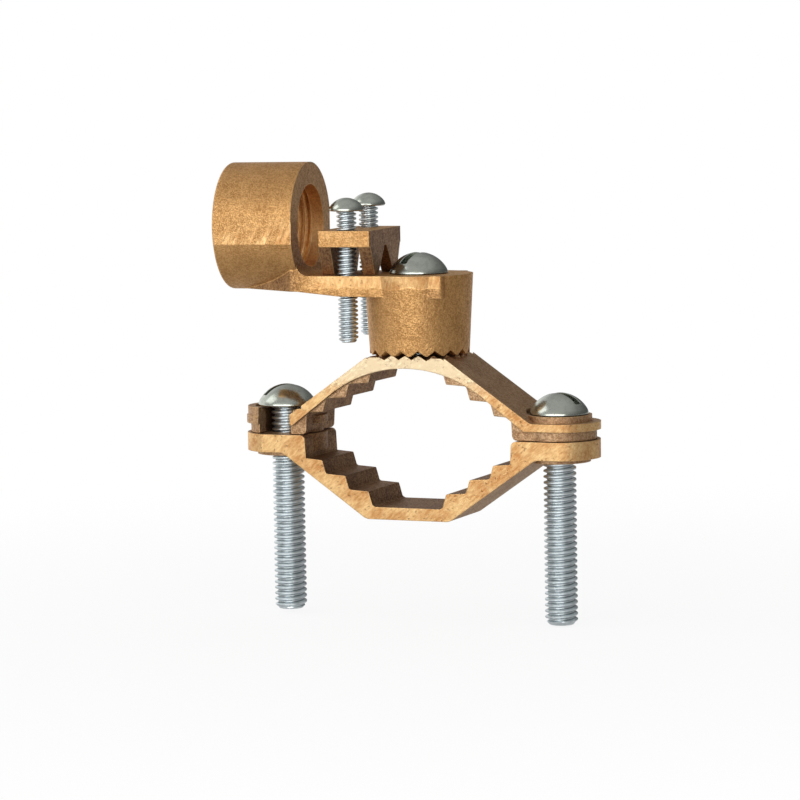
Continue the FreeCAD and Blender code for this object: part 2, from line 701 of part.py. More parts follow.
def make_saddle():
    body = new_body("saddle")
    near_x = -sz.saddle_reach + sz.saddle_length / 2
    far_x = -sz.saddle_reach - sz.saddle_length / 2
    plate_bottom = saddle_top - sz.saddle_thickness
    rib_foot = plate_bottom - sz.rib_height
    rib_root = plate_bottom + sz.saddle_thickness / 2
    plate = new_sketch(body, "PlateSketch", "XY_Plane", plate_bottom)
    draw_box(plate, far_x, near_x, -sz.saddle_half_width, sz.saddle_half_width)
    pad(body, "Plate", plate, sz.saddle_thickness)
    doc.recompute()
    side = sz.saddle_half_width
    corners = [(far_x, side), (far_x, -side), (near_x, side), (near_x, -side)]
    fillet(body, "PlateCorners", straight_edges(body.Tip.Shape, "Z", corners),
           sz.saddle_corner_radius)

    half_rib = [
        (sz.rib_root_half_width, rib_root),
        (sz.rib_root_half_width, plate_bottom),
        (sz.rib_tip_half_width, rib_foot),
        (sz.notch_tip_half_width, rib_foot),
        (sz.notch_root_half_width, plate_bottom),
    ]
    other_half = [(-across, up) for across, up in reversed(half_rib)]
    for name, start in (("FarRib", far_x), ("NearRib", near_x - sz.rib_thickness)):
        sketch = new_sketch(body, name + "Sketch", "YZ_Plane", start)
        draw_outline(sketch, half_rib + other_half)
        pad(body, name, sketch, sz.rib_thickness)
    holes = new_sketch(body, "HolesSketch", "XY_Plane")
    draw_circle(holes, -sz.saddle_screw_reach, sz.saddle_screw_half_spacing,
                saddle_clear_radius)
    draw_circle(holes, -sz.saddle_screw_reach, -sz.saddle_screw_half_spacing,
                saddle_clear_radius)
    cut_through(body, "Holes", holes)
    turn_with_hub(body)
    return body


# Screws

def make_screw(label, kind, length, place, turn):
    """A slotted round-head screw, drawn with the underside of its head at z = 0."""
    body = new_body(label)
    tip = kind.shank - sz.screw_tip_chamfer
    corners = [
        (ZERO, -length),
        (tip, -length),
        (kind.shank, -length + sz.screw_tip_chamfer),
        (kind.shank, ZERO),
        (kind.head, ZERO),
        (kind.head, sz.head_rim),
        (ZERO, kind.height),
    ]
    dome = kind.height - sz.head_rim
    dome_radius = (dome * dome + kind.head * kind.head) / dome / 2
    profile = new_sketch(body, "TurnedProfile", "XZ_Plane")
    draw_outline(profile, corners, arcs={5: dome_radius})
    turned = body.newObject("PartDesign::Revolution", "Turned")
    turned.Profile = profile
    turned.ReferenceAxis = (profile, ["V_Axis"])
    turned.Angle = FULL_TURN.value
    body.Tip = turned
    slot = new_sketch(body, "SlotSketch", "XY_Plane", kind.height - kind.slot_depth)
    reach = kind.head + SPARE
    draw_box(slot, -reach, reach, -kind.slot_width / 2, kind.slot_width / 2)
    cut_upwards(body, "Slot", slot, kind.slot_depth + SPARE)

    across, along, up = place
    body.Placement = Placement(
        Vector(across.value, along.value, up.value),
        Rotation(Vector(0, 0, 1), turn.value),
    )
    bind(body, "Placement.Base.x", across)
    bind(body, "Placement.Base.y", along)
    bind(body, "Placement.Base.z", up)
    bind(body, "Placement.Rotation.Angle", turn)
    return body


def on_hub(across, along):
    """A place in the hub's turned frame, seen in the part's frame."""
    sine = sz.hub_turn.sine()
    cosine = sz.hub_turn.cosine()
    return across * cosine - along * sine, across * sine + along * cosine


def make_screws():
    clamp = SimpleNamespace(
        shank=sz.clamp_shank_radius, head=sz.clamp_head_radius, height=sz.clamp_head_height,
        slot_width=sz.clamp_slot_width, slot_depth=sz.clamp_slot_depth,
    )
    small = SimpleNamespace(
        shank=sz.saddle_shank_radius, head=sz.saddle_head_radius, height=sz.saddle_head_height,
        slot_width=sz.saddle_slot_width, slot_depth=sz.saddle_slot_depth,
    )
    left = (-screw_x, ZERO, sz.head_pad_top + sz.left_back_off)
    right = (screw_x, ZERO, sz.head_pad_top + sz.under_head_gap)
    middle = (ZERO, ZERO, arm_top + sz.under_head_gap)
    reach = -sz.saddle_screw_reach
    front = on_hub(reach, -sz.saddle_screw_half_spacing)
    rear = on_hub(reach, sz.saddle_screw_half_spacing)
    return [
        make_screw("clamp_screw_left", clamp, sz.clamp_screw_length, left, sz.left_slot_turn),
        make_screw("clamp_screw_right", clamp, sz.clamp_screw_length, right, sz.right_slot_turn),
        make_screw("boss_screw", clamp, sz.boss_screw_length, middle, sz.boss_slot_turn),
        make_screw("saddle_screw_front", small, sz.saddle_screw_length,
                   (*front, saddle_top + sz.front_screw_back_off), sz.front_slot_turn),
        make_screw("saddle_screw_rear", small, sz.saddle_screw_length,
                   (*rear, saddle_top + sz.rear_screw_back_off), sz.rear_slot_turn),
    ]


# Checks and export

def check_document(bodies):
    """Stop if a feature failed, a cut cut nothing or a body isn't one sound solid."""
    for item in doc.Objects:
        if "Invalid" in item.State or "Error" in item.State:
            raise RuntimeError(f"{item.Name} failed: {item.State}")
        if item.TypeId in ("PartDesign::Pocket", "PartDesign::Groove"):
            if item.Shape.Volume > item.BaseFeature.Shape.Volume * (1 - 1e-7):
                raise RuntimeError(f"{item.Name} in {item.getParentGeoFeatureGroup().Label} cuts nothing")
    for body in bodies:
        if body.Shape.isNull() or not body.Shape.isValid() or len(body.Shape.Solids) != 1:
            raise RuntimeError(f"{body.Label} isn't one sound solid")


def main():
    bodies = [make_lower_jaw(), make_upper_jaw(), make_hub_fitting(), make_saddle()]
    bodies += make_screws()
    doc.recompute()
    check_document(bodies)
    os.makedirs("parts", exist_ok=True)
    for body in bodies:
        body.Shape.exportStep(f"parts/{body.Label}.step")
        print(f"{body.Label}: {body.Shape.Volume:.1f} mm3")


main()
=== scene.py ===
import math

import bmesh
import bpy
import numpy as np
from bpy.props import FloatProperty, FloatVectorProperty, PointerProperty
from mathutils import Matrix, Vector


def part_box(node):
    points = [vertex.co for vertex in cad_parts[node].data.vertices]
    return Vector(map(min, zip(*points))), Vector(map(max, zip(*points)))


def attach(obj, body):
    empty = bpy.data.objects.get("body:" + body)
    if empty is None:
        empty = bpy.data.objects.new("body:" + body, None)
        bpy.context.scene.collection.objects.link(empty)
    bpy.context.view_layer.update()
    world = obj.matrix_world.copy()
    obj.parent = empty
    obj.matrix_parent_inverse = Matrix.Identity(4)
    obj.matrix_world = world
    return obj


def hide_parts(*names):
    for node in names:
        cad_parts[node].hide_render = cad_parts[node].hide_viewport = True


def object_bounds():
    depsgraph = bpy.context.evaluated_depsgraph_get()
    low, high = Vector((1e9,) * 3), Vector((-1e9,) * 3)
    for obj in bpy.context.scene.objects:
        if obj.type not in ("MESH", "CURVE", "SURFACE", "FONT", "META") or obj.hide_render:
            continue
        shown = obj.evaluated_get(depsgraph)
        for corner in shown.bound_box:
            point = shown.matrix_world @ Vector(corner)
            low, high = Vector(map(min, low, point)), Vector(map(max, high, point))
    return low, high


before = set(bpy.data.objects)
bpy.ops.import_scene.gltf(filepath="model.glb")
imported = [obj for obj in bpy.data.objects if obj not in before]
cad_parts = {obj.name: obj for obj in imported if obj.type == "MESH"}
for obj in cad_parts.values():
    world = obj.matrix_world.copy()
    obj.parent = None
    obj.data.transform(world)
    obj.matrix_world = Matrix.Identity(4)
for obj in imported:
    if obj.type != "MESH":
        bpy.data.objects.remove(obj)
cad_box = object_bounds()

bl_info = {
    "name": "Earthing Pipe Clamp",
    "version": (1, 0, 0),
    "blender": (4, 5, 0),
    "location": "View3D > Sidebar > Clamp",
    "description": "Dresses the earthing pipe clamp: threads, cast bronze and zinc plate",
    "category": "Object",
}

# The hub casting's own frame is turned about Z, with the hub's axis along its X.
HUB_TURN = math.radians(5.82)
HUB_AXIS_HEIGHT = 0.051
HUB_FAR_END = -0.0476
HUB_NEAR_END = -0.0274
HUB_FLAT = 0.01495  # from the hub's axis to the flats on its sides
ARM_TOP = 0.0396

# Places in metres that tell the faces of the jaws apart.
JAW_FACE = 0.0094  # from the middle, out to the ground faces
EAR_CENTRE = 0.0358
EAR_RADIUS = 0.0094
EAR_HOLE = 0.0058
UPPER_EAR_TOP = 0.00432
UPPER_EAR_FOOT = 0.00245
LOWER_EAR_FOOT = -0.00442
LIP_START = -0.0402
OUTER_RISER = 0.0285

# And those of the saddle.
SADDLE_END = 0.0125
SADDLE_PLATE_FOOT = 0.0464

# How finely the threaded screws and the hub's thread are drawn.
DOME_CHORDS = 37
CHORD_POINTS = 49
ROWS_PER_TURN = 10
HUB_THREAD_POINTS = 129
HUB_THREAD_TAPER = 1 / 32  # lost from the radius per length

# The white backdrop, and the brighter half of the room, as the mirroring metal finds them.
TOWARDS_BACKDROP = (-0.9, 0.43, 0.0)
TOWARDS_CEILING = (-0.3, -0.4, 0.85)


def linear(code):
    """Scene-linear colour of a hex sRGB code, by the standard's two-part curve."""
    shares = [int(code[place:place + 2], 16) / 255 for place in (0, 2, 4)]
    return tuple(
        share / 12.92 if share <= 0.04045 else ((share + 0.055) / 1.055) ** 2.4
        for share in shares
    )


def length_property(name, description, default):
    """A size of the clamp, in metres."""
    return FloatProperty(
        name=name, description=description, default=default, min=0.0,
        unit="LENGTH", subtype="DISTANCE", precision=5,
    )


def angle_property(name, description, degrees):
    """A turn of a screw."""
    return FloatProperty(
        name=name, description=description, default=math.radians(degrees),
        unit="ROTATION", subtype="ANGLE",
    )


def colour_property(name, description, code):
    """A colour, from its hex sRGB code."""
    return FloatVectorProperty(
        name=name, description=description, default=linear(code),
        size=3, min=0.0, max=1.0, subtype="COLOR",
    )


class ClampSettings(bpy.types.PropertyGroup):
    """Sizes and colours of the dressed clamp."""

    clamp_pitch: length_property(
        "Clamp thread pitch", "One turn of the 5/16 inch thread", 0.001411
    )
    clamp_shank: length_property(
        "Clamp shank radius", "Over the crests of the 5/16 inch thread", 0.00395
    )
    clamp_head_height: length_property(
        "Clamp head height", "Head of the 5/16 inch screws", 0.0052
    )
    clamp_slot_width: length_property("Clamp slot width", "Slot of the 5/16 inch screws", 0.002)
    clamp_slot_depth: length_property(
        "Clamp slot depth", "Slot of the 5/16 inch screws", 0.0026
    )
    saddle_pitch: length_property(
        "Saddle thread pitch", "One turn of the number 10 thread", 0.001058
    )
    saddle_shank: length_property(
        "Saddle shank radius", "Over the crests of the number 10 thread", 0.0024
    )
    saddle_head_height: length_property(
        "Saddle head height", "Head of the number 10 screws", 0.0032
    )
    saddle_slot_width: length_property(
        "Saddle slot width", "Slot of the number 10 screws", 0.0012
    )
    saddle_slot_depth: length_property(
        "Saddle slot depth", "Slot of the number 10 screws", 0.0017
    )
    head_rim: length_property("Head rim", "Upright edge below a head's dome", 0.0007)
    thread_depth: FloatProperty(
        name="Thread depth", description="Depth of a screw thread as a share of its pitch",
        default=0.6, min=0.1, max=0.8, subtype="FACTOR",
    )
    left_slot: angle_property("Left slot", "Turn of the left clamp screw's slot", 43.0)
    right_slot: angle_property("Right slot", "Turn of the right clamp screw's slot", 165.0)
    boss_slot: angle_property("Boss slot", "Turn of the boss screw's slot", 70.0)
    front_slot: angle_property("Front slot", "Turn of the front saddle screw's slot", 30.0)
    rear_slot: angle_property("Rear slot", "Turn of the rear saddle screw's slot", 15.0)
    hub_pitch: length_property(
        "Hub thread pitch", "One turn of the tapered conduit thread", 0.001814
    )
    hub_thread_length: length_property(
        "Hub thread length", "From the hub's far end to its stop", 0.0171
    )
    hub_thread_root: length_property(
        "Hub thread root", "Radius of the thread's root at the mouth", 0.0125
    )
    hub_thread_depth: length_property("Hub thread depth", "From root to crest", 0.0006)
    hub_thread_wall: length_property(
        "Hub thread wall", "Radius of the bore that carries it", 0.01255
    )

    cast_colour: colour_property("Cast bronze", "High spots of the as-cast skin", "E6B477")
    cast_shade_colour: colour_property(
        "Cast bronze, shade", "Hollows of the as-cast skin", "B98953"
    )
    dull_colour: colour_property(
        "Dull bronze", "High spots of the jaws' duller skin", "D8B48C"
    )
    dull_shade_colour: colour_property(
        "Dull bronze, shade", "Hollows of the jaws' duller skin", "A67E5B"
    )
    # Painted shade: the two colours of the darker bronze laid inside the jaws, on the saddle's
    # sides and ribs and on parts of the hub; the second also darkens the corners.
    painted_shade_colour: colour_property("Seat bronze", "High spots inside the jaws", "B68C62")
    painted_deep_shade_colour: colour_property(
        "Seat bronze, shade", "Hollows inside the jaws, and dirt in corners", "72513A"
    )
    ground_colour: colour_property("Ground bronze", "Faces and edges ground bright", "FFD99C")
    ground_shade_colour: colour_property(
        "Ground bronze, shade", "Warmer marks in the ground faces", "D2955A"
    )
    pit_colour: colour_property("Pits", "Pores that grinding opens", "8A5C3C")
    polished_colour: colour_property(
        "Polished bronze", "Middle of the upper jaw's face", "FFF0CB"
    )
    thread_colour: colour_property("Zinc plate on threads", "Blue-white zinc plate", "EDF6F9")
    # The heads' zinc is painted darker and greener than the threads', standing for the darker
    # reflections on the domes.
    head_colour: colour_property("Zinc plate on heads", "Duller zinc plate, handled", "C6CBC0")
    floor_colour: colour_property("Floor", "Pale floor and backdrop", "F4F4F4")


# Meshes

def grid_faces(rows, columns, first=0):
    """Corner numbers of the quads of a grid whose points run along its rows."""
    numbers = first + np.arange(rows * columns).reshape(rows, columns)
    return np.stack(
        [numbers[:-1, :-1], numbers[:-1, 1:], numbers[1:, 1:], numbers[1:, :-1]], axis=-1
    ).reshape(-1, 4)


def make_piece(name, points, faces, matrix, sharp_degrees):
    """A finished object at the origin from arrays of points and quads.

    Points that fall together are welded, which closes seams and poles, and the
    faces are turned outwards.
    """
    mesh = bpy.data.meshes.new(name)
    mesh.from_pydata(points, [], faces.tolist())
    mesh.transform(matrix)
    work = bmesh.new()
    work.from_mesh(mesh)
    bmesh.ops.remove_doubles(work, verts=work.verts, dist=2e-7)
    bmesh.ops.dissolve_degenerate(work, edges=work.edges, dist=1e-7)
    bmesh.ops.recalc_face_normals(work, faces=work.faces)
    open_edges = [edge for edge in work.edges if len(edge.link_faces) != 2]
    work.to_mesh(mesh)
    work.free()
    if open_edges:
        raise RuntimeError(f"{name} isn't closed: {len(open_edges)} open edges")
    mesh.shade_smooth()
    mesh.set_sharp_from_angle(angle=math.radians(sharp_degrees))
    piece = bpy.data.objects.new(name, mesh)
    bpy.context.scene.collection.objects.link(piece)
    return piece


def thread_wave(turns):
    """Height of a rolled thread over its root, 0 to 1, along one turn.

    A cosine stretched past its ends and clipped, so that the crest is a broad
    land, the root a narrow one, with flanks between them.
    """
    return np.clip(0.62 + 0.72 * np.cos(2 * math.pi * turns), 0.0, 1.0)


def screw_arrays(head, shank, length, pitch, depth, height, rim, slot_width, slot_depth):
    """Points and quads of a slotted round-head screw, its head's underside at z = 0.

    The dome is a grid of chords: y runs across the slot, x along each chord,
    z is the ball's height over the point, and no higher than the slot's floor
    between the slot's walls. Everything below the dome is one grid of turns
    about the axis: rings round the head, then a thread whose rows climb one
    pitch per turn and stop at the head and at the chamfered tip.
    """
    edge_round = rim * 0.35
    edge = head - edge_round
    dome = height - rim
    ball = (dome ** 2 + head ** 2) / (2 * dome)
    floor = height - slot_depth
    half_slot = slot_width / 2
    bevel = slot_width * 0.07

    # Level of each chord: 2 on the slot's floor, 1 at its edge, below the bevel, 0 on the dome.
    even = edge * np.sin(np.linspace(-math.pi / 2, math.pi / 2, DOME_CHORDS))
    outside = even[even > half_slot + bevel * 2.5]
    inside = even[np.abs(even) < half_slot - bevel]
    side = np.concatenate([[half_slot, half_slot, half_slot + bevel], outside])
    drop = np.concatenate([[2, 1], np.zeros(len(outside) + 1)])
    across = np.concatenate([-side[::-1], inside, side])
    level = np.concatenate([drop[::-1], np.full(len(inside), 2), drop])

    along = np.sin(np.linspace(-math.pi / 2, math.pi / 2, CHORD_POINTS))
    y = np.repeat(across[:, None], len(along), axis=1)
    x = np.sqrt(np.maximum(edge ** 2 - across ** 2, 0))[:, None] * along[None, :]
    ball_height = height - ball + np.sqrt(ball ** 2 - x ** 2 - y ** 2)
    lowered = np.where(ball_height > floor + bevel, ball_height - bevel, ball_height)
    lowered = np.where(level[:, None] == 2, np.minimum(ball_height, floor), lowered)
    z = np.where(level[:, None] > 0, lowered, ball_height)
    sheet = np.stack([x, y, z], axis=-1)

    right = np.arcsin(np.clip(across / edge, -1, 1))
    angle = np.concatenate([right, (math.pi - right)[::-1][1:]])
    rim_top = height - ball + math.sqrt(ball ** 2 - edge ** 2)
    rings = np.array([
        (edge, rim_top),
        (head - edge_round * 0.3, rim),
        (head, rim - edge_round),
        (head, edge_round),
        (head - edge_round, 0.0),
        (shank, 0.0),
    ])
    ring_radius = np.repeat(rings[:, :1], len(angle), axis=1)
    ring_height = np.repeat(rings[:, 1:], len(angle), axis=1)

    row = np.arange(math.ceil(ROWS_PER_TURN * (length / pitch + 1)) + 1)
    climb = pitch * (angle - angle[0]) / (2 * math.pi)
    raw = climb[None, :] - pitch * row[:, None] / ROWS_PER_TURN
    thread_height = np.clip(raw, -length, 0.0)
    root = shank - depth
    tip = root - depth * 0.25
    wave = root + depth * thread_wave(row / ROWS_PER_TURN)[:, None] * np.ones_like(raw)
    thread_radius = np.minimum(wave, tip + (thread_height + length))
    thread_radius = np.where(raw >= 0, shank, thread_radius)

    radius = np.concatenate([ring_radius, thread_radius, np.zeros((1, len(angle)))])
    up = np.concatenate([ring_height, thread_height, np.full((1, len(angle)), -length)])
    below = np.stack([radius * np.cos(angle), radius * np.sin(angle), up], axis=-1)

    faces = np.concatenate([
        grid_faces(*sheet.shape[:2]),
        grid_faces(*below.shape[:2], first=sheet.shape[0] * sheet.shape[1]),
    ])
    return np.concatenate([sheet.reshape(-1, 3), below.reshape(-1, 3)]), faces


def hub_thread_arrays(root, depth, wall, length, pitch):
    """Points and quads of the conduit thread, its axis along X and its mouth at x = 0.

    Each row is a ring about X. The rows go along the wall, then come back as a
    thread that climbs one pitch per turn, tapers by one part in thirty-two of
    its length and runs out at both ends.
    """
    angle = np.linspace(0, 2 * math.pi, HUB_THREAD_POINTS)
    row = np.arange(math.ceil(ROWS_PER_TURN * (length / pitch + 1)) + 1)
    climb = pitch * angle / (2 * math.pi)
    raw = length + climb[None, :] - pitch * row[:, None] / ROWS_PER_TURN
    along = np.clip(raw, 0.0, length)
    run_out = np.clip(np.minimum(along, length - along) / (pitch * 0.8), 0.0, 1.0)
    height = depth * thread_wave(row / ROWS_PER_TURN)[:, None] + along * HUB_THREAD_TAPER
    radius = root - height * run_out

    ends = np.array([(wall, 0.0), (wall, length), (root, length)])
    last = np.array([(wall, 0.0)])
    flat = np.ones_like(angle)
    radius = np.concatenate([ends[:, :1] * flat, radius, last[:, :1] * flat])
    along = np.concatenate([ends[:, 1:] * flat, along, last[:, 1:] * flat])
    points = np.stack([along, radius * np.cos(angle), radius * np.sin(angle)], axis=-1)
    return points.reshape(-1, 3), grid_faces(*points.shape[:2])


# Materials

def add_node(tree, kind, inputs=None, output=0, **settings):
    """Add a node with its settings, and return one of its outputs, or all of them for None.

    Each input, by number or name, gets a value or is linked to another node's output.
    """
    node = tree.nodes.new(kind)
    for name, value in settings.items():
        setattr(node, name, value)
    for key, value in (inputs or {}).items():
        if isinstance(value, bpy.types.NodeSocket):
            tree.links.new(value, node.inputs[key])
        else:
            node.inputs[key].default_value = value
    return node.outputs if output is None else node.outputs[output]


def product(tree, *factors):
    """The product of some shares, which is 1 only where each of them is.

    A factor is a share, a number or a soft step, given as a quantity, the value
    at which it is still 0 and the value from which it is 1.
    """
    result = None
    for factor in factors:
        if isinstance(factor, tuple):
            quantity, still_none, full = factor
            factor = add_node(
                tree, "ShaderNodeMapRange",
                {"Value": quantity, "From Min": still_none, "From Max": full},
                interpolation_type="SMOOTHSTEP",
            )
        result = factor if result is None else add_node(
            tree, "ShaderNodeMath", {0: result, 1: factor}, operation="MULTIPLY"
        )
    return result


def largest(tree, *shares):
    """The largest of some shares."""
    result = shares[0]
    for share in shares[1:]:
        result = add_node(
            tree, "ShaderNodeMath", {0: result, 1: share}, operation="MAXIMUM"
        )
    return result


def painted(tree, base, *coats):
    """A colour with coats laid over it in order, each a share and a colour."""
    for share, coat in coats:
        colours = {0: share}
        for number, colour in ((6, base), (7, coat)):
            is_socket = isinstance(colour, bpy.types.NodeSocket)
            colours[number] = colour if is_socket else (*colour, 1.0)
        base = add_node(tree, "ShaderNodeMix", colours, 2, data_type="RGBA")
    return base


def parts(tree, vector):
    """x, y and z of a vector, and then the same three without their signs."""
    unsigned = add_node(tree, "ShaderNodeVectorMath", {0: vector}, operation="ABSOLUTE")
    return [
        *add_node(tree, "ShaderNodeSeparateXYZ", {0: vector}, None),
        *add_node(tree, "ShaderNodeSeparateXYZ", {0: unsigned}, None),
    ]


def new_material(name):
    """An empty material and its tree of nodes."""
    material = bpy.data.materials.new(name)
    material.use_nodes = True
    material.node_tree.nodes.clear()
    return material, material.node_tree


def place_and_normal(tree, turn):
    """Object coordinates and the object's normal, in a frame turned about Z."""
    coordinates = add_node(tree, "ShaderNodeTexCoord", output=None)
    return [
        add_node(
            tree, "ShaderNodeMapping",
            {"Vector": coordinates[output], "Rotation": (0.0, 0.0, -turn)},
            vector_type=kind,
        )
        for output, kind in (("Object", "POINT"), ("Normal", "NORMAL"))
    ]


def jaw_faces(tree, place, normal):
    """Shares of ground face, painted shade and polish on the jaws.

    The ground faces look along Y and stand furthest out, and the belt also takes the skin off
    the ears' edges where they curve away. Painted shade darkens the steps that the jaws close on
    the pipe, and the open ear's slot as well.
    The middle of the upper jaw's ground face is the most polished.
    """
    x, y, z, side, depth, _ = parts(tree, place)
    _, normal_y, normal_z, along_x, along_y, along_z = parts(tree, normal)
    level = add_node(tree, "ShaderNodeCombineXYZ", {0: side, 1: y})
    from_screw = add_node(
        tree, "ShaderNodeVectorMath", {0: level, 1: (EAR_CENTRE, 0.0, 0.0)}, "Value",
        operation="DISTANCE",
    )
    upright = product(tree, (along_z, 0.3, 0.1))

    front = product(tree, (depth, JAW_FACE - 0.0003, JAW_FACE), (along_y, 0.9, 0.99))
    upper = product(tree, (z, UPPER_EAR_FOOT - 0.0001, UPPER_EAR_FOOT),
                    (z, UPPER_EAR_TOP, UPPER_EAR_TOP - 0.00004), (x, 0.0, 0.001))
    lower = product(tree, (z, LOWER_EAR_FOOT, LOWER_EAR_FOOT + 0.00004), (z, 0.00005, 0.0))
    ear = product(tree, largest(tree, upper, lower), (side, 0.034, 0.036), upright,
                  (from_screw, EAR_RADIUS - 0.0002, EAR_RADIUS))
    # The end of the open ear's lip is half bright.
    lip = product(tree, (x, LIP_START, LIP_START - 0.0004), (normal_y, -0.8, -0.95),
                  (z, 0.0, 0.0001), 0.5)

    # Painted shade on the treads, which look back at the parting plane, on the risers, which
    # look along X, and in the ear's hole.
    facing_back = add_node(
        tree, "ShaderNodeMath", {0: z, 1: normal_z}, operation="MULTIPLY"
    )
    tread = product(tree, (facing_back, -0.001, -0.003))
    riser = product(tree, (along_x, 0.8, 0.9), (side, OUTER_RISER, OUTER_RISER - 0.001))
    hole = product(tree, (from_screw, EAR_HOLE, EAR_HOLE - 0.0004), (z, 0.0, 0.0001), upright)
    polish = product(tree, (z, 0.008, 0.0165))
    return largest(tree, front, ear, lip), largest(tree, tread, riser, hole), polish


def saddle_faces(tree, place, normal):
    """Shares of ground face and painted shade on the saddle.

    Its sawn ends are slightly ground, and painted shade darkens the sides that look along the
    arm and all of the ribs.
    """
    _, _, z, _, reach, _ = parts(tree, place)
    _, _, _, along_x, along_y, _ = parts(tree, normal)
    sawn = product(tree, (reach, SADDLE_END - 0.0003, SADDLE_END), (along_y, 0.85, 0.97), 0.2)
    # Painted shade on the sides that look along the arm and on the ribs.
    sides = product(tree, (along_x, 0.4, 0.8))
    ribs = product(tree, (z, SADDLE_PLATE_FOOT, SADDLE_PLATE_FOOT - 0.0003))
    return sawn, largest(tree, sides, ribs), 0.0


def hub_faces(tree, place, normal):
    """Shares of ground face and painted shade on the hub casting.

    The ground faces are the band along the arm's front and over the boss, with an uneven lower
    edge, the flats on the hub's sides, in slanting streaks, the hub's far end, and its bore,
    with painted light that makes it brightest low down.
    """
    x, y, z, _, reach, _ = parts(tree, place)
    normal_x, _, _, _, along_y, _ = parts(tree, normal)
    across = add_node(tree, "ShaderNodeCombineXYZ", {1: y, 2: z})
    from_axis = add_node(
        tree, "ShaderNodeVectorMath", {0: across, 1: (0.0, 0.0, HUB_AXIS_HEIGHT)}, "Value",
        operation="DISTANCE",
    )
    uneven = add_node(tree, "ShaderNodeTexNoise", {
        "Vector": place, "Scale": 1 / 0.006, "Detail": 2.0, "Roughness": 0.55,
    })
    height = add_node(
        tree, "ShaderNodeMath", {0: uneven, 1: 0.0022, 2: z}, operation="MULTIPLY_ADD"
    )
    band = product(tree, (height, 0.0372, 0.0376), (along_y, 0.86, 0.95),
                   (z, ARM_TOP, ARM_TOP - 0.0003), (x, -0.0262, -0.0205), 0.75)

    slanted = add_node(
        tree, "ShaderNodeMapping",
        {"Vector": place, "Scale": (1.0, 1.0, 7.0), "Rotation": (0.0, 0.45, 0.0)},
        vector_type="TEXTURE",
    )
    marks = add_node(tree, "ShaderNodeTexNoise", {
        "Vector": slanted, "Scale": 1 / 0.0011, "Detail": 3.0, "Roughness": 0.55,
    })
    streaks = add_node(
        tree, "ShaderNodeMix", {0: product(tree, (marks, 0.42, 0.6)), 2: 0.1, 3: 0.85}
    )
    flats = product(tree, (reach, HUB_FLAT - 0.00005, HUB_FLAT), (along_y, 0.97, 0.995),
                    (z, 0.0555, 0.0485), streaks)
    # Painted light: the bore gets more of the bright coat low down.
    painted_light_low_down = add_node(
        tree, "ShaderNodeMix", {0: product(tree, (z, 0.053, 0.045)), 2: 0.15, 3: 0.9}
    )
    bore = product(tree, (from_axis, 0.0128, 0.0127),
                   (x, HUB_NEAR_END - 0.00005, HUB_NEAR_END - 0.0002), painted_light_low_down)
    end = product(tree, (normal_x, -0.9, -0.98),
                  (x, HUB_FAR_END + 0.0006, HUB_FAR_END + 0.0002))

    # Painted shade on the arm's squared end where it stands out of the boss,
    corner = product(tree, (x, 0.0045, 0.0065), (along_y, 0.86, 0.95), 0.4)
    # on the arm's root, the more towards the hub's far end,
    root = product(tree, (x, -0.024, -0.031), (from_axis, 0.0156, 0.0158), 0.8)
    # and on the ring round the bore, above the arm.
    ring = product(tree, (normal_x, 0.9, 0.98), (z, 0.0405, 0.0412), 0.35)
    return largest(tree, band, flats, bore, end), largest(tree, corner, root, ring), 0.0


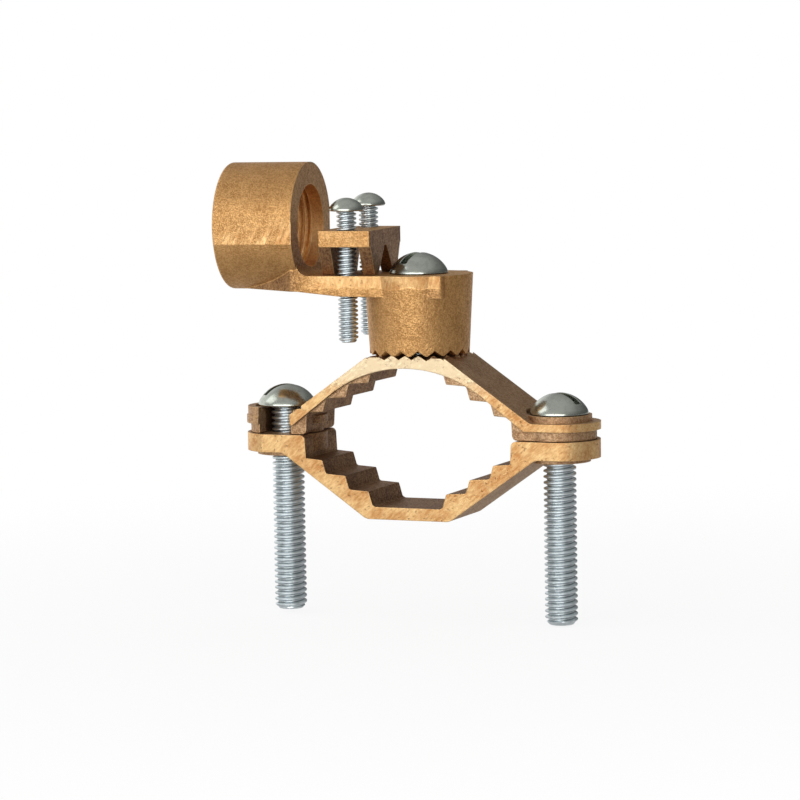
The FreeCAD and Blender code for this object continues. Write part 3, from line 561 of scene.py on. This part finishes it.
def bronze_material(name, colours, shares, turn=0.0, skin_finish="cast", lean=0.2):
    """Sand-cast bronze with some faces ground bright.

    The cast skin is an orange peel of lumps under a millimetre, its high spots lighter and
    smoother than its hollows, with dull patches a few millimetres across. Ground faces are paler
    and glossier, mottled and pitted, with short scratches. Both have edges worn bright and
    slightly round. Painted shade darkens the corners and the places that the shares pick out.
    """
    material, tree = new_material(name)
    place, normal = place_and_normal(tree, turn)
    ground, painted_shade, polish = shares(tree, place, normal)

    belt = add_node(
        tree, "ShaderNodeMapping",
        {"Vector": place, "Scale": (1.0, 1.0, 3.0), "Rotation": (0.0, lean, 0.0)},
        vector_type="TEXTURE",
    )
    lumps, sand, patches, scratches, pores = [
        add_node(tree, "ShaderNodeTexNoise", {
            "Vector": pattern_place, "Scale": 1 / size, "Detail": detail, "Roughness": roughness,
        })
        for pattern_place, size, detail, roughness in (
            # Lumps and grains of the sand mould: they catch the light as sparkle.
            (place, 0.0008, 2.0, 0.55),
            (place, 0.00035, 2.0, 0.55),
            # Dull and bright patches: handling and heat leave them on the skin.
            (place, 0.006, 3.0, 0.55),
            # Scratches of the grinding belt, long one way and fine the other.
            (belt, 0.0006, 5.0, 0.75),
            # Pores that grinding opens: dark specks half a millimetre across.
            (place, 0.0007, 2.0, 0.55),
        )
    ]
    skin = add_node(tree, "ShaderNodeMix", {0: 0.6, 2: lumps, 3: sand})
    high_spots = product(tree, (skin, 0.4, 0.6))
    marks = product(tree, (scratches, 0.35, 0.65))
    pits = product(tree, (pores, 0.64, 0.72))

    tone = add_node(
        tree, "ShaderNodeMix", {0: 0.35, 2: high_spots, 3: product(tree, (patches, 0.7, 0.3))}
    )
    cast = painted(
        tree, getattr(colours, f"{skin_finish}_shade_colour"),
        (tone, getattr(colours, f"{skin_finish}_colour")),
    )
    # A darker copy of the skin, for the painted shade that the shares pick out.
    inside = painted(tree, colours.painted_deep_shade_colour, (tone, colours.painted_shade_colour))
    warmth = add_node(
        tree, "ShaderNodeMix", {0: 0.45, 2: marks, 3: product(tree, (patches, 0.62, 0.4))}
    )
    pit_share = add_node(tree, "ShaderNodeMix", {0: polish, 2: 0.6, 3: 0.25})
    pale = painted(tree, colours.ground_colour, (polish, colours.polished_colour))
    bright = painted(
        tree, colours.ground_shade_colour,
        (largest(tree, warmth, product(tree, polish, 0.75)), pale),
        (product(tree, pits, pit_share), colours.pit_colour),
    )

    # Worn edges: where a rounded normal leaves the true one, the skin is rubbed off.
    rounded = add_node(tree, "ShaderNodeBevel", {"Radius": 0.00028}, samples=6)
    true_normal = add_node(tree, "ShaderNodeNewGeometry", output="Normal")
    agreement = add_node(
        tree, "ShaderNodeVectorMath", {0: rounded, 1: true_normal}, "Value",
        operation="DOT_PRODUCT",
    )
    # Painted shade in the corners: the colour darkens where little ambient light gets in.
    openness = add_node(
        tree, "ShaderNodeAmbientOcclusion",
        {"Color": (1.0, 1.0, 1.0, 1.0), "Distance": 0.001}, "AO", samples=8,
    )
    colour = painted(
        tree, cast, (painted_shade, inside), (ground, bright),
        (product(tree, (agreement, 0.985, 0.9), 0.55), colours.ground_colour),
        (product(tree, (openness, 0.75, 0.3), 0.7), colours.painted_deep_shade_colour),
    )

    cast_roughness = add_node(tree, "ShaderNodeMix", {0: high_spots, 2: 0.58, 3: 0.42})
    ground_roughness = add_node(tree, "ShaderNodeMix", {0: marks, 2: 0.5, 3: 0.4})
    roughness = add_node(
        tree, "ShaderNodeMix", {0: ground, 2: cast_roughness, 3: ground_roughness}
    )
    ground_relief = add_node(
        tree, "ShaderNodeMath",
        {0: product(tree, scratches, 0.35), 1: product(tree, pits, 0.25)},
        operation="SUBTRACT",
    )
    relief = add_node(tree, "ShaderNodeMix", {0: ground, 2: skin, 3: ground_relief})
    bump = add_node(tree, "ShaderNodeBump", {
        "Strength": 0.8, "Distance": 0.0003, "Height": relief, "Normal": rounded,
    })
    metal = add_node(tree, "ShaderNodeBsdfPrincipled", {
        "Metallic": 1.0, "Base Color": colour, "Roughness": roughness, "Normal": bump,
    })
    add_node(tree, "ShaderNodeOutputMaterial", {"Surface": metal}, None)
    return material


def zinc_material(name, colour, gloss):
    """Bright zinc plate on rolled steel.

    Clear grey metal with a faint mottling and a fine frost, so that its highlights break up
    slightly, and painted shade in the roots of the thread.
    """
    material, tree = new_material(name)
    place, _ = place_and_normal(tree, 0.0)
    # Mottling of the plate: patches of a millimetre or two that are duller.
    mottle = add_node(tree, "ShaderNodeTexNoise", {
        "Vector": place, "Scale": 1 / 0.0018, "Detail": 3.0, "Roughness": 0.55,
    })
    # Fine texture of the plated surface, which softens reflections.
    frost = add_node(tree, "ShaderNodeTexNoise", {
        "Vector": place, "Scale": 1 / 0.00018, "Detail": 2.0, "Roughness": 0.55,
    })
    dull = product(tree, (mottle, 0.4, 0.7))
    dull_colour, root_shade_colour = [
        tuple(share * channel for channel in colour) for share in (0.8, 0.3)
    ]
    plate = painted(tree, colour, (dull, dull_colour))
    # Painted shade in the roots of the thread: the colour darkens where little ambient light
    # gets in.
    openness = add_node(
        tree, "ShaderNodeAmbientOcclusion",
        {"Color": (1.0, 1.0, 1.0, 1.0), "Distance": 0.0008}, "AO", samples=8,
    )
    shown = painted(tree, root_shade_colour, (product(tree, (openness, 0.25, 0.75)), plate))
    roughness = add_node(tree, "ShaderNodeMix", {0: dull, 2: gloss, 3: gloss + 0.1})
    relief = add_node(tree, "ShaderNodeMix", {0: 0.5, 2: mottle, 3: frost})
    bump = add_node(tree, "ShaderNodeBump", {
        "Strength": 0.12, "Distance": 0.00005, "Height": relief,
    })
    metal = add_node(tree, "ShaderNodeBsdfPrincipled", {
        "Metallic": 1.0, "Base Color": shown, "Roughness": roughness, "Normal": bump,
    })
    add_node(tree, "ShaderNodeOutputMaterial", {"Surface": metal}, None)
    return material


def ensure_material(name, make):
    """The material of that name, made when it isn't there yet."""
    return bpy.data.materials.get(name) or make(name)


def zinc_pair(settings):
    """Plate on the heads, painted darker than on the threads for the domes' darker reflections,
    and on the threads.
    """
    return (
        ensure_material("ZincPlatedSteel_HeadedRound",
                        lambda name: zinc_material(name, settings.head_colour, 0.2)),
        ensure_material("ZincPlatedSteel_RolledThread",
                        lambda name: zinc_material(name, settings.thread_colour, 0.34)),
    )


def hub_bronze(settings):
    """The hub casting's bronze, which its thread shares."""
    return ensure_material(
        "SandCastBronze_BoredHub",
        lambda name: bronze_material(name, settings, hub_faces, HUB_TURN),
    )


# Operators

class CLAMP_OT_screws(bpy.types.Operator):
    """Make the five threaded screws in the places of the plain ones"""

    bl_idname = "clamp.screws"
    bl_label = "Threaded Screws"

    def execute(self, context):
        settings = context.scene.clamp
        for node, small, turn in (
            ("clamp_screw_left", False, settings.left_slot),
            ("clamp_screw_right", False, settings.right_slot),
            ("boss_screw", False, settings.boss_slot),
            ("saddle_screw_front", True, settings.front_slot),
            ("saddle_screw_rear", True, settings.rear_slot),
        ):
            kind = "saddle" if small else "clamp"
            height = getattr(settings, f"{kind}_head_height")
            pitch = getattr(settings, f"{kind}_pitch")
            low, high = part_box(node)
            points, faces = screw_arrays(
                head=(high[0] - low[0]) / 2,
                shank=getattr(settings, f"{kind}_shank"),
                length=high[2] - low[2] - height,
                pitch=pitch,
                depth=pitch * settings.thread_depth,
                height=height,
                rim=settings.head_rim,
                slot_width=getattr(settings, f"{kind}_slot_width"),
                slot_depth=getattr(settings, f"{kind}_slot_depth"),
            )
            place = Vector(((low[0] + high[0]) / 2, (low[1] + high[1]) / 2, high[2] - height))
            matrix = Matrix.Translation(place) @ Matrix.Rotation(turn, 4, "Z")
            piece = make_piece(
                f"{node}_threaded", points, faces, matrix, sharp_degrees=32
            )
            for material in zinc_pair(settings):
                piece.data.materials.append(material)
            centres = np.empty(len(piece.data.polygons) * 3, np.float32)
            piece.data.polygons.foreach_get("center", centres)
            on_thread = (centres[2::3] < place.z).astype(np.int32)
            piece.data.polygons.foreach_set("material_index", on_thread)
            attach(piece, node)
            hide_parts(node)
        return {"FINISHED"}


class CLAMP_OT_hub_thread(bpy.types.Operator):
    """Make the tapered thread inside the conduit hub"""

    bl_idname = "clamp.hub_thread"
    bl_label = "Hub Thread"

    def execute(self, context):
        settings = context.scene.clamp
        points, faces = hub_thread_arrays(
            root=settings.hub_thread_root,
            depth=settings.hub_thread_depth,
            wall=settings.hub_thread_wall,
            length=settings.hub_thread_length,
            pitch=settings.hub_pitch,
        )
        mouth = Matrix.Translation((HUB_FAR_END, 0, HUB_AXIS_HEIGHT))
        matrix = Matrix.Rotation(HUB_TURN, 4, "Z") @ mouth
        piece = make_piece("hub_thread", points, faces, matrix, sharp_degrees=40)
        piece.data.materials.append(hub_bronze(settings))
        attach(piece, "hub_fitting")
        return {"FINISHED"}


class CLAMP_OT_castings(bpy.types.Operator):
    """Give the four bronze castings their cast and ground surfaces"""

    bl_idname = "clamp.castings"
    bl_label = "Bronze Castings"

    def execute(self, context):
        settings = context.scene.clamp
        jaw = bronze_material(
            "SandCastBronze_GroundJaw", settings, jaw_faces, skin_finish="dull", lean=0.9
        )
        saddle = bronze_material("SandCastBronze_SawnSaddle", settings, saddle_faces, HUB_TURN)
        for node, material in (
            ("lower_jaw", jaw),
            ("upper_jaw", jaw),
            ("hub_fitting", hub_bronze(settings)),
            ("saddle", saddle),
        ):
            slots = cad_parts[node].material_slots
            if not slots:
                raise RuntimeError(f"{node} has no material slot")
            for slot in slots:
                slot.material = material
        return {"FINISHED"}


def floor_material(colour):
    """Matt white paper that photographs white and still takes a soft shadow.

    Seen directly it is mostly plain white, and wholly so further out, where it
    meets the background. Mirrored in the metal it is white well behind the clamp
    on the left, and half as bright elsewhere.
    """
    material, tree = new_material("MattWhiteSweep")
    path = add_node(tree, "ShaderNodeLightPath", output=None)
    place = add_node(tree, "ShaderNodeTexCoord", output="Object")
    distance, behind = [
        add_node(tree, "ShaderNodeVectorMath", {0: place, 1: TOWARDS_BACKDROP}, "Value",
                 operation=operation)
        for operation in ("LENGTH", "DOT_PRODUCT")
    ]
    seen = largest(tree, path["Is Camera Ray"], path["Is Transmission Ray"])
    plain = add_node(
        tree, "ShaderNodeMix", {0: product(tree, (distance, 0.06, 0.3)), 2: 0.88, 3: 1.0}
    )
    share = largest(tree, product(tree, seen, plain), path["Is Glossy Ray"])
    mirrored = add_node(
        tree, "ShaderNodeMix", {0: product(tree, (behind, 0.05, 0.3)), 2: 0.46, 3: 1.0}
    )
    strength = add_node(tree, "ShaderNodeMix", {0: path["Is Glossy Ray"], 2: 1.0, 3: mirrored})
    matt = add_node(tree, "ShaderNodeBsdfDiffuse", {"Color": (*colour, 1.0)})
    white = add_node(
        tree, "ShaderNodeEmission", {"Color": (1.0, 1.0, 1.0, 1.0), "Strength": strength}
    )
    mixed = add_node(tree, "ShaderNodeMixShader", {0: share, 1: matt, 2: white})
    add_node(tree, "ShaderNodeOutputMaterial", {"Surface": mixed}, None)
    return material


def make_floor(height, width, material):
    """A level square under the clamp."""
    side = width / 2
    corners = [(-side, -side, height), (side, -side, height),
               (side, side, height), (-side, side, height)]
    mesh = bpy.data.meshes.new("floor")
    mesh.from_pydata(corners, [], [(0, 1, 2, 3)])
    mesh.materials.append(material)
    floor = bpy.data.objects.new("floor", mesh)
    bpy.context.scene.collection.objects.link(floor)


def make_lamp(name, place, target, width, height, power):
    """A rectangular soft lamp that looks at the target."""
    data = bpy.data.lights.new(name, "AREA")
    data.shape = "RECTANGLE"
    data.size = width
    data.size_y = height
    data.energy = power
    lamp = bpy.data.objects.new(name, data)
    lamp.location = place
    lamp.rotation_mode = "QUATERNION"
    lamp.rotation_quaternion = (Vector(target) - Vector(place)).to_track_quat("-Z", "Y")
    bpy.context.scene.collection.objects.link(lamp)


def make_world():
    """White background, with a dim grey studio round the rest of the clamp.

    Seen directly it is white all round. Mirrored in the metal it is white
    towards the backdrop on the left, and elsewhere a grey room that is darkest
    low on the right. Anything else gets an even soft fill.
    """
    world = bpy.data.worlds.new("WhiteStudio")
    world.use_nodes = True
    tree = world.node_tree
    tree.nodes.clear()
    path = add_node(tree, "ShaderNodeLightPath", output=None)
    seen = largest(tree, path["Is Camera Ray"], path["Is Transmission Ray"])
    direction = add_node(tree, "ShaderNodeTexCoord", output="Generated")
    backdrop, ceiling = [
        add_node(tree, "ShaderNodeVectorMath", {0: direction, 1: towards}, "Value",
                 operation="DOT_PRODUCT")
        for towards in (TOWARDS_BACKDROP, TOWARDS_CEILING)
    ]
    room = add_node(
        tree, "ShaderNodeMix", {0: product(tree, (ceiling, -0.35, 0.9)), 2: 0.11, 3: 0.5}
    )
    mirrored = add_node(
        tree, "ShaderNodeMix", {0: product(tree, (backdrop, 0.6, 0.95)), 2: room, 3: 1.0}
    )
    unseen = add_node(tree, "ShaderNodeMix", {0: path["Is Glossy Ray"], 2: 0.6, 3: mirrored})
    strength = add_node(tree, "ShaderNodeMix", {0: seen, 2: unseen, 3: 1.0})
    background = add_node(
        tree, "ShaderNodeBackground", {"Color": (1.0, 1.0, 1.0, 1.0), "Strength": strength}
    )
    add_node(tree, "ShaderNodeOutputWorld", {"Surface": background}, None)
    bpy.context.scene.world = world


class CLAMP_OT_stage(bpy.types.Operator):
    """Set up the floor, the lamps, the world and the camera"""

    bl_idname = "clamp.stage"
    bl_label = "Studio Stage"

    def execute(self, context):
        scene = context.scene
        scene.view_settings.view_transform = "Standard"
        low, high = cad_box
        middle = (low + high) / 2

        make_floor(low.z - 0.0005, 8.0, floor_material(scene.clamp.floor_colour))
        make_lamp("key_front", (0.08, -1.2, 0.25), middle, width=1.8, height=0.6, power=8.4)
        make_lamp("top_left", (-0.65, -0.25, 0.6), middle, width=0.5, height=0.5, power=0.9)
        make_world()
        make_camera()
        return {"FINISHED"}


def make_camera():
    """The photograph's camera: 23 degrees to the right of the pipe's axis, slightly above."""
    data = bpy.data.cameras.new("photo_camera")
    data.sensor_width = 36.0
    data.lens = 150.86
    data.clip_start = 0.01
    data.clip_end = 50.0
    camera = bpy.data.objects.new("photo_camera", data)
    right = Vector((0.92102399, 0.38914211, -0.01682922))
    up = Vector((-0.02290902, 0.09725179, 0.99499611))
    back = Vector((0.38883156, -0.91602975, 0.0984861))
    place = Vector((0.31239384, -0.74886779, 0.08882224))
    turn = Matrix((right, up, back)).transposed().to_4x4()
    camera.matrix_world = Matrix.Translation(place) @ turn
    bpy.context.scene.collection.objects.link(camera)
    bpy.context.scene.camera = camera


class CLAMP_PT_panel(bpy.types.Panel):
    """Lists the clamp's operators and settings in the sidebar"""

    bl_idname = "CLAMP_PT_panel"
    bl_label = "Earthing Pipe Clamp"
    bl_space_type = "VIEW_3D"
    bl_region_type = "UI"
    bl_category = "Clamp"

    def draw(self, context):
        for operator in OPERATORS:
            self.layout.operator(operator.bl_idname)
        settings = context.scene.clamp
        for name in ClampSettings.__annotations__:
            self.layout.prop(settings, name)


OPERATORS = (CLAMP_OT_screws, CLAMP_OT_hub_thread, CLAMP_OT_castings, CLAMP_OT_stage)
CLASSES = (ClampSettings, *OPERATORS, CLAMP_PT_panel)


def register():
    for item in CLASSES:
        bpy.utils.register_class(item)
    bpy.types.Scene.clamp = PointerProperty(type=ClampSettings)


def unregister():
    del bpy.types.Scene.clamp
    for item in reversed(CLASSES):
        bpy.utils.unregister_class(item)


def main():
    """Register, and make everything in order."""
    register()
    bpy.ops.clamp.screws()
    bpy.ops.clamp.hub_thread()
    bpy.ops.clamp.castings()
    bpy.ops.clamp.stage()


if __name__ == "__main__":
    main()
